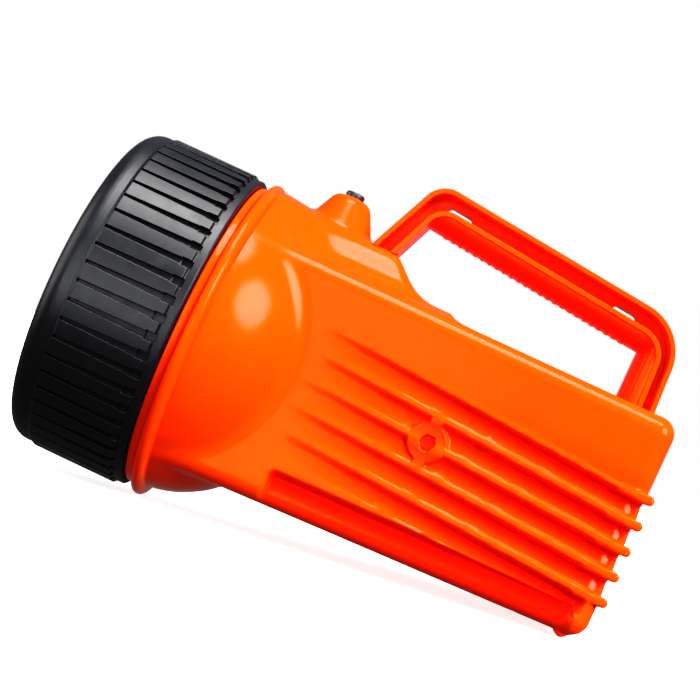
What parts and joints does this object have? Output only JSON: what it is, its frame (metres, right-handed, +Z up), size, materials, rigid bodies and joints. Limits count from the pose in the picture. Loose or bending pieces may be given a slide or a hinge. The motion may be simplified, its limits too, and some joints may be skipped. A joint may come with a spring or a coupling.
{
  "type": "hand lamp",
  "caption": "Battery hand lamp with a round head, ribbed screw ring, box-shaped housing, carrying handle on top and a push-button switch.",
  "frame": {"origin": "centre of the bounding box at floor level, with the lamp standing on the rim behind its lens ring and on its two tail feet", "axes": "+Z up, +Y from the lens towards the tail (the lamp axis falls 7.56 degrees towards the tail), +X to the side that lies on the right when the lens is seen from the front with the handle up"},
  "size_m": [0.121, 0.2198, 0.1357],
  "materials": {
    "orange_plastic": "glossy injection-moulded orange",
    "black_plastic": "satin black",
    "seal_rubber": "soft black rubber",
    "clear_plastic": "clear, polished",
    "mirror_coating": "bright vacuum-coated dish",
    "bulb_glass": "clear",
    "nickel_brass": "satin",
    "filament_wire": "dull wire",
    "white_plastic": "matt white",
    "plate_fibre": "brown insulating sheet",
    "battery_wrap": "satin dark blue wrap",
    "battery_lid": "matt black",
    "spring_steel": "bright wire",
    "foam": "soft grey foam",
    "button_plastic": "satin black",
    "switch_plastic": "matt black"
  },
  "bodies": {
    "housing": {"head_housing": "orange_plastic", "battery_housing": "orange_plastic", "carry_handle": "orange_plastic", "ring_seal": "seal_rubber", "battery_case": "battery_wrap", "battery_cover": "battery_lid", "battery_center_spring": "spring_steel", "battery_corner_spring": "spring_steel", "battery_pad": "foam", "switch_boot": "seal_rubber", "switch_nut": "spring_steel", "switch_body": "switch_plastic", "switch_terminals": "nickel_brass", "switch_spring": "spring_steel", "front_lead": "nickel_brass", "rear_lead": "nickel_brass"},
    "lens_stack": {"lens": "clear_plastic", "lens_gasket": "seal_rubber", "reflector": "mirror_coating", "bulb_envelope": "bulb_glass", "bulb_base": "nickel_brass", "bulb_filament": "filament_wire", "bulb_holder": "white_plastic", "contact_plate": "plate_fibre", "center_contact": "nickel_brass", "outer_contact": "nickel_brass"},
    "screw_ring": {"lens_ring": "black_plastic"},
    "button": {"switch_button": "button_plastic", "contact_bridge": "nickel_brass"}
  },
  "joints": [
    {"name": "head_slide", "type": "slide", "parent": "housing", "child": "lens_stack", "axis": [0, -0.9913, 0.1316], "range_m": [0, 0.0061]},
    {"name": "ring_turn", "type": "hinge", "parent": "lens_stack", "child": "screw_ring", "pos_m": [0, -0.08499, 0.06421], "axis": [0, -0.9913, 0.1316], "range_deg": [0, 540]},
    {"name": "button_press", "type": "slide", "parent": "housing", "child": "button", "axis": [0, -0.1316, -0.9913], "range_m": [0, 0.0018], "stiffness_N_per_m": 900, "springref_m": -0.001, "deforming": ["switch_spring"]}
  ],
  "couplings": [
    {"joint": "head_slide", "follows": "ring_turn", "m_per_rad": 0.00063662}
  ]
}
